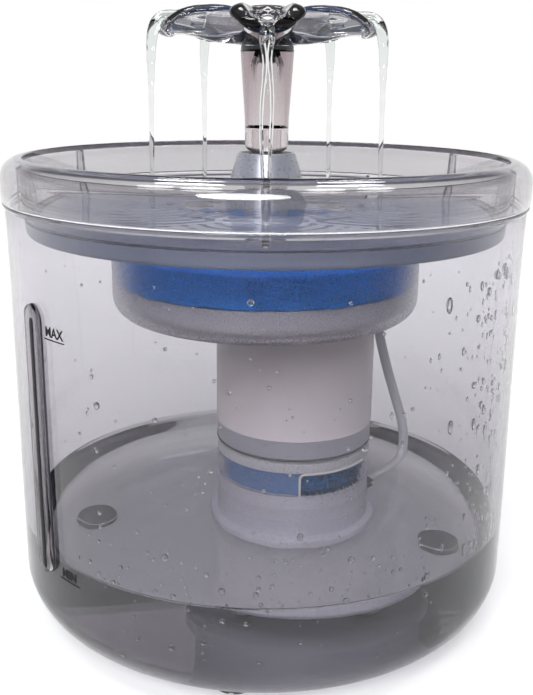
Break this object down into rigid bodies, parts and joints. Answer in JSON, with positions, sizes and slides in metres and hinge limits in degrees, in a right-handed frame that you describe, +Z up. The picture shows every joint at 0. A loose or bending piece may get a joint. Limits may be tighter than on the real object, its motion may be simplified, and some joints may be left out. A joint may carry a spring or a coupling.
{
  "type": "pet water fountain",
  "caption": "Clear round tub with a drinking tray and flower spout over a filter cup and a submerged pump, with its USB lead coiled behind.",
  "frame": {"origin": "under the middle of the tub, at the height on which its rubber feet stand", "axes": "+Z up, the level gauge and the camera's side towards -Y, the lead leaves at the back, +Y"},
  "size_m": [0.18, 0.2588, 0.2123],
  "materials": {
    "smoky_clear": "clear, faintly smoky, gloss",
    "frosted_plastic": "frosted, translucent",
    "white_plastic": "satin",
    "dark_plastic": "satin",
    "grey_rubber": "matte",
    "blue_sponge": "open-cell foam",
    "white_felt": "felt",
    "resin_beads": "packed beads",
    "carbon_grains": "packed grains",
    "steel": "polished",
    "ceramic": "glazed",
    "magnet": "moulded ferrite",
    "core_steel": "stacked sheets",
    "copper_wire": "lacquered wire",
    "board": "solder mask",
    "cable_jacket": "soft vinyl"
  },
  "bodies": {
    "tank": {"tank": "smoky_clear", "tank_feet": "grey_rubber", "pump_suction_cups": "grey_rubber", "pump_base": "smoky_clear", "sponge_grid": "white_plastic", "housing_window_ring": "frosted_plastic", "intake_sponge": "blue_sponge", "housing_collar": "smoky_clear", "riser_seal": "grey_rubber", "riser_tube": "smoky_clear", "pump_body": "dark_plastic", "pump_cover": "dark_plastic", "rotor_shaft": "steel", "shaft_bushes": "ceramic", "stator_core": "core_steel", "motor_coils": "copper_wire", "driver_board": "board", "motor_cap": "dark_plastic", "cable_gland": "grey_rubber", "cable_inner": "cable_jacket", "cable_outer": "cable_jacket", "cable_coil": "cable_jacket", "cable_tail": "cable_jacket", "plug_relief": "cable_jacket", "plug_body": "cable_jacket", "plug_shell": "steel", "plug_tongue": "white_plastic"},
    "rotor": {"impeller": "dark_plastic", "rotor_magnet": "magnet"},
    "filter_cup": {"filter_cup": "frosted_plastic", "cup_sleeve": "frosted_plastic"},
    "filter_pack": {"filter_case": "white_plastic", "resin_layer": "resin_beads", "carbon_layer": "carbon_grains", "filter_felt": "white_felt", "sponge_disc": "blue_sponge"},
    "lid": {"drinking_tray": "smoky_clear"},
    "spout_seat": {"spout_seat_ring": "grey_rubber"},
    "flower_spout": {"spout_stem": "smoky_clear", "stem_ring": "grey_rubber", "spout_outlet": "dark_plastic", "flower_head": "smoky_clear"}
  },
  "joints": [
    {"name": "rotor_spin", "type": "hinge", "parent": "tank", "child": "rotor", "pos_m": [0, 0, 0.025], "axis": [0.7071, 0.7071, 0], "continuous": true},
    {"name": "cup_lift", "type": "slide", "parent": "tank", "child": "filter_cup", "axis": [0, 0, 1], "range_m": [0, 0.112]},
    {"name": "filter_lift", "type": "slide", "parent": "filter_cup", "child": "filter_pack", "axis": [0, 0, 1], "range_m": [0, 0.038]},
    {"name": "tray_lift", "type": "slide", "parent": "filter_pack", "child": "lid", "axis": [0, 0, 1], "range_m": [0, 0.05]},
    {"name": "spout_turn", "type": "hinge", "parent": "lid", "child": "spout_seat", "pos_m": [0, 0, 0.163], "axis": [0, 0, 1], "continuous": true},
    {"name": "spout_lift", "type": "slide", "parent": "spout_seat", "child": "flower_spout", "axis": [0, 0, 1], "range_m": [0, 0.03]}
  ]
}
